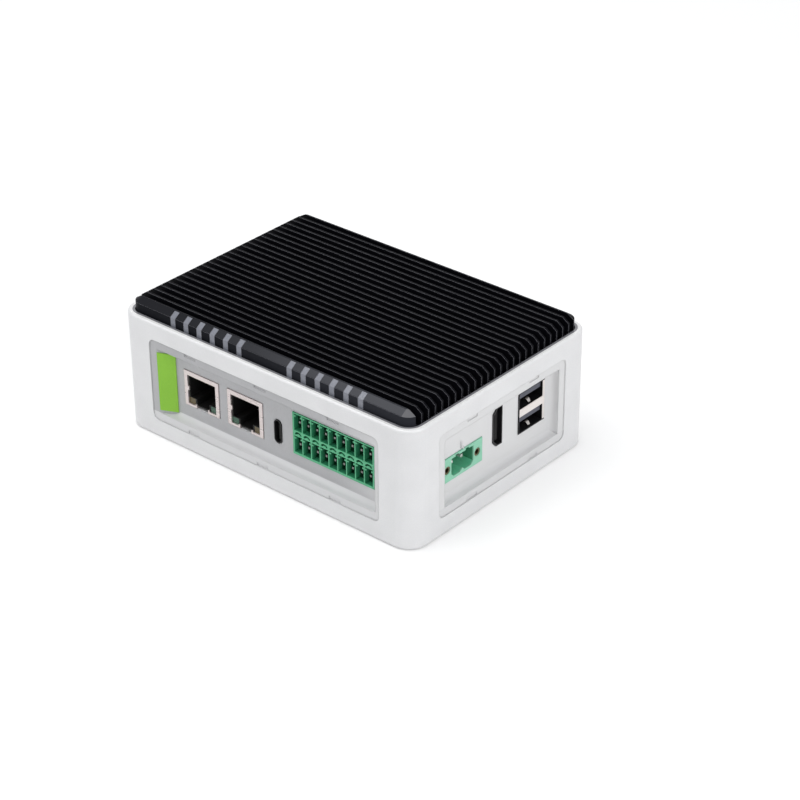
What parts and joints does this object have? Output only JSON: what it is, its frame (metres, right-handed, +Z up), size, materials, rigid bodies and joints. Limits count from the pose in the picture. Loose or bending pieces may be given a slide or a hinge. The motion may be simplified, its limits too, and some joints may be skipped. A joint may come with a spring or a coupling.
{
  "type": "edge computer",
  "caption": "Fanless box computer with a silver frame, a black finned heat sink on top, recessed frosted port panels and socket rows on two sides.",
  "frame": {"origin": "centre of the footprint, on the surface that the rubber feet stand on", "axes": "+X along the long side towards the end with the power, display and twin sockets, -Y towards the side with the network sockets, +Z up through the fins"},
  "size_m": [0.13, 0.093, 0.0495],
  "materials": {
    "base_metal": "satin",
    "board_green": "satin",
    "capacitor_can": "satin",
    "cell_steel": "satin",
    "chip_black": "matte",
    "chip_lid": "satin",
    "contact_gold": "polished",
    "foot_rubber": "matte",
    "frame_silver": "satin",
    "frosted_panel": "frosted",
    "insert_brass": "turned",
    "label_green": "satin",
    "lamp_amber": "clear",
    "lamp_green": "clear",
    "lamp_white": "clear",
    "light_guide": "milky",
    "pad_grey": "soft",
    "pin_tin": "tinned",
    "plug_rubber": "matte",
    "power_mint": "moulded",
    "screw_steel": "satin",
    "shell_dark": "dark plated",
    "shield_nickel": "satin",
    "sink_black": "black anodised, matte",
    "socket_black": "matte",
    "standoff_brass": "turned",
    "terminal_green": "moulded",
    "tongue_slate": "moulded"
  },
  "bodies": {
    "root": {"enclosure_frame": "frame_silver", "base_plate": "base_metal", "rubber_feet": "foot_rubber", "heat_sink": "sink_black", "thermal_block": "base_metal", "light_guides_left": "light_guide", "light_guides_right": "light_guide", "front_panel": "frosted_panel", "right_panel": "frosted_panel", "left_panel": "frosted_panel", "rear_panel": "frosted_panel", "aerial_plugs": "plug_rubber", "label_plate": "label_green", "main_board": "board_green", "board_standoffs": "standoff_brass", "board_screws": "screw_steel", "case_screws": "screw_steel", "network_shield_left": "shield_nickel", "network_shield_right": "shield_nickel", "network_insert_left": "socket_black", "network_insert_right": "socket_black", "network_contacts_left": "contact_gold", "network_contacts_right": "contact_gold", "network_lamps_amber": "lamp_amber", "network_lamps_green": "lamp_green", "service_shell": "shell_dark", "service_tongue": "socket_black", "service_base": "socket_black", "terminal_block": "terminal_green", "terminal_pins": "pin_tin", "power_header": "power_mint", "power_pins": "pin_tin", "power_inserts": "insert_brass", "display_shell": "shell_dark", "display_tongue": "socket_black", "display_base": "socket_black", "twin_shield": "shield_nickel", "twin_tongues": "tongue_slate", "twin_contacts": "contact_gold", "twin_base": "socket_black", "compute_module": "board_green", "module_connectors": "socket_black", "module_spacers": "standoff_brass", "module_screws": "screw_steel", "processor": "chip_lid", "memory_chips": "chip_black", "thermal_pad": "pad_grey", "indicator_board": "board_green", "indicator_lamps": "lamp_white", "indicator_screws": "screw_steel", "cell_holder": "socket_black", "clock_cell": "cell_steel", "capacitors": "capacitor_can", "power_coil": "chip_black"}
  },
  "joints": []
}
